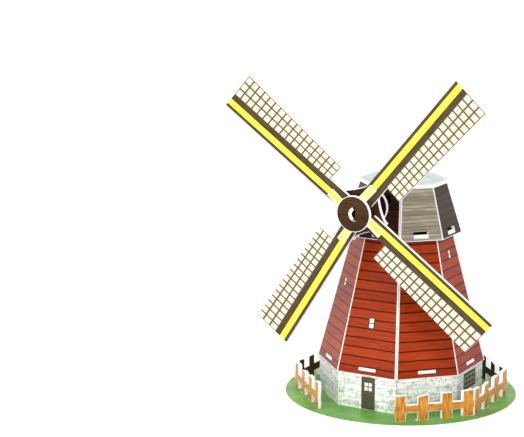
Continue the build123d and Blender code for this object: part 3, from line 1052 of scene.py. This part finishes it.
# Pale yellow painted highlight, standing in for the glare on the sails' yellow near the hub.
PALE_YELLOW_HIGHLIGHT = coated_paper("pale_yellow_painted_highlight", streaked("#EDE77C", "#F3EE92"), 0.42, 0.1)
outline = []
spreads = asin(CROSS_RIGHT / CROSS_CORE), asin(CROSS_LEFT / CROSS_CORE)
for angle, after in zip(angles, angles[1:] + [angles[0] + 360]):
    turn = radians(angle)
    out, way = Vector((cos(turn), sin(turn))), Vector((-sin(turn), cos(turn)))
    outline += [tuple(out * CROSS_REACH + way * side) for side in (CROSS_RIGHT, CROSS_LEFT)]
    first, last = degrees(turn + spreads[1]), degrees(radians(after) + spreads[0])
    outline += circle(CROSS_CORE, 4, first, last - first)
cross = die_cut(outline, [shaft_slot()], margin=CROSS_MARGIN)
# Two of the arms are printed in the sails' yellow, with a white strip along one edge.
for node, low, high in (
    ("sail_upper_left", CROSS_LEFT - CROSS_STRIP, CROSS_LEFT),
    ("sail_lower_right", CROSS_RIGHT, CROSS_RIGHT + CROSS_STRIP),
):
    turn = radians(SAILS[node][0])
    out, way = Vector((cos(turn), sin(turn), 0)), Vector((-sin(turn), cos(turn), 0))
    for y in (low, high):
        score(cross, (way * y).xy, way.xy)
    for face in cross.faces:
        middle = face.calc_center_median()
        if middle.dot(out) <= CROSS_CORE:
            continue
        if low < middle.dot(way) < high:
            face.material_index = 1
        elif face.material_index == 0:
            face.material_index = 4
seat_on_shaft(
    cross,
    "hub_cross",
    CROSS_BACK + CROSS_BOARD,
    CROSS_BOARD,
    [PALE_YELLOW_HIGHLIGHT, WHITE_PAPER, FOAM, WHITE_PAPER, SPAR_YELLOW],
)

# ---- discs --------------------------------------------------------------------------------
# Round plates lock on the rolled shaft by a D-shaped slot: a brown one in front of the sails,
# another behind them and a small white one that stops the shaft inside the cap.
DISC_R, STOP_R, DISC_MARGIN = 9.8, 5.0, 0.28
DISC_FRONTS = {
    "front_disc": CROSS_BACK + CROSS_BOARD + BOARD,
    "rear_disc": -15.5,
    "stop_disc": -53.5,
}
for node, front in DISC_FRONTS.items():
    printed = node != "stop_disc"
    disc = die_cut(circle(DISC_R if printed else STOP_R), [shaft_slot()], margin=DISC_MARGIN)
    # The print runs up to the slot's edge.
    for face in disc.faces:
        if (face.calc_center_median() - Vector((SHAFT_SHIFT, 0, 0))).length < SHAFT_R + 0.5:
            face.material_index = 0
    # The rear disc's face takes the near-black painted shade, for the star plate's shadow on it.
    skin = {"front_disc": HUB_BROWN, "rear_disc": PAINTED_SHADE_DARK, "stop_disc": WHITE_PAPER}[node]
    back = FENCE_BACK if printed else WHITE_PAPER
    seat_on_shaft(disc, node, front, BOARD, [skin, WHITE_PAPER, FOAM, back])

# ---- star plate ---------------------------------------------------------------------------
# A four-pointed plate with hollowed sides backs the sails' roots, in dark brown with a
# white cut edge.
STAR_REACH, STAR_TIP, STAR_WAIST, STAR_FRONT = 16.5, 3.4, 12.1, -3.1
STAR_TURN, CURVE_POINTS = 12.0, 14
STAR_BROWN = coated_paper("star_wood_print", streaked("#2C170B", "#432516"), 0.42, 0.1)
points = [angle + STAR_TURN for angle in angles]
outline = []
for angle, after in zip(points, points[1:] + [points[0] + 360]):
    tips = []
    for turn, side in ((radians(angle), 1), (radians(after), -1)):
        out, way = Vector((cos(turn), sin(turn))), Vector((-sin(turn), cos(turn)))
        tips.append(out * STAR_REACH + way * side * STAR_TIP)
    middle = radians((angle + after) / 2)
    # A curve's middle lies three quarters of the way out to its handles.
    sag = (Vector((cos(middle), sin(middle))) * STAR_WAIST - (tips[0] + tips[1]) / 2) * 4 / 3
    curve = geometry.interpolate_bezier(
        tips[0], tips[0] + sag, tips[1] + sag, tips[1], CURVE_POINTS
    )
    outline += [tuple(point.xy) for point in curve]
star = die_cut(outline, [shaft_slot()], margin=DISC_MARGIN)
seat_on_shaft(star, "star_plate", STAR_FRONT, BOARD, [STAR_BROWN, WHITE_PAPER, FOAM, FENCE_BACK])

# ---- table and room -----------------------------------------------------------------------
# A level white table top runs into a white room, with two large soft lights at the front.
ground = bmesh.new()
bmesh.ops.create_grid(ground, x_segments=1, y_segments=1, size=6.0)
table_mesh = bpy.data.meshes.new("table")
ground.to_mesh(table_mesh)
ground.free()
table = bpy.data.objects.new("table", table_mesh)
bpy.context.scene.collection.objects.link(table)
TABLE_TOP = bpy.data.materials.new("matt_table_top")
TABLE_TOP.use_nodes = True
shader = TABLE_TOP.node_tree.nodes["Principled BSDF"]
shader.inputs["Base Color"].default_value = linear("#F8F8F7")
shader.inputs["Roughness"].default_value = 0.8
table_mesh.materials.append(TABLE_TOP)

room = bpy.data.worlds.new("white_room")
room.use_nodes = True
walls = room.node_tree
walls.nodes.clear()
facing = put(walls, "SeparateXYZ", {0: put(walls, "TexCoord").outputs["Generated"]})
# The wall on the right is further off and dimmer than the others.
reach = {"From Min": 0.1, "From Max": 0.9, "To Min": 1.32, "To Max": 0.4}
glow = put(walls, "MapRange", {"Value": facing.outputs["X"], **reach})
lit = put(walls, "Background", {"Color": linear("#FFFFFF"), "Strength": glow})
put(walls, "OutputWorld", {"Surface": lit})
bpy.context.scene.world = room
bpy.context.scene.view_settings.view_transform = "Standard"


def soft_light(name, azimuth, elevation, distance, size, power):
    """A square light aimed at the middle of the model. Azimuth 0 is in front of the door."""
    turn, lift = radians(azimuth), radians(elevation)
    toward = Vector((sin(turn) * cos(lift), -cos(turn) * cos(lift), sin(lift)))
    lamp = bpy.data.lights.new(name, "AREA")
    lamp.size = size
    lamp.energy = power
    holder = bpy.data.objects.new(name, lamp)
    holder.location = Vector((0, 0, 0.08)) + toward * distance
    holder.rotation_euler = toward.to_track_quat("Z", "Y").to_euler()
    bpy.context.scene.collection.objects.link(holder)


soft_light("key_light", 20, 38, 1.2, 0.7, 4.5)
soft_light("side_light", 42, 24, 1.0, 0.2, 2.2)

# ---- camera -------------------------------------------------------------------------------
# A long lens at the height of the tower's middle, a little to the right of the door.
VIEW_AZIMUTH, VIEW_ELEVATION, VIEW_DISTANCE = radians(30.0), radians(11.6), 0.9937
VIEW_CENTRE = Vector((-0.0687, -0.03965, 0.1022))
back = Vector(
    (
        sin(VIEW_AZIMUTH) * cos(VIEW_ELEVATION),
        -cos(VIEW_AZIMUTH) * cos(VIEW_ELEVATION),
        sin(VIEW_ELEVATION),
    )
)
lens = bpy.data.cameras.new("Camera")
lens.sensor_width = 36.0
lens.lens = 121.35
camera = bpy.data.objects.new("Camera", lens)
camera.location = VIEW_CENTRE + back * VIEW_DISTANCE
camera.rotation_euler = back.to_track_quat("Z", "Y").to_euler()
bpy.context.scene.collection.objects.link(camera)
bpy.context.scene.camera = camera
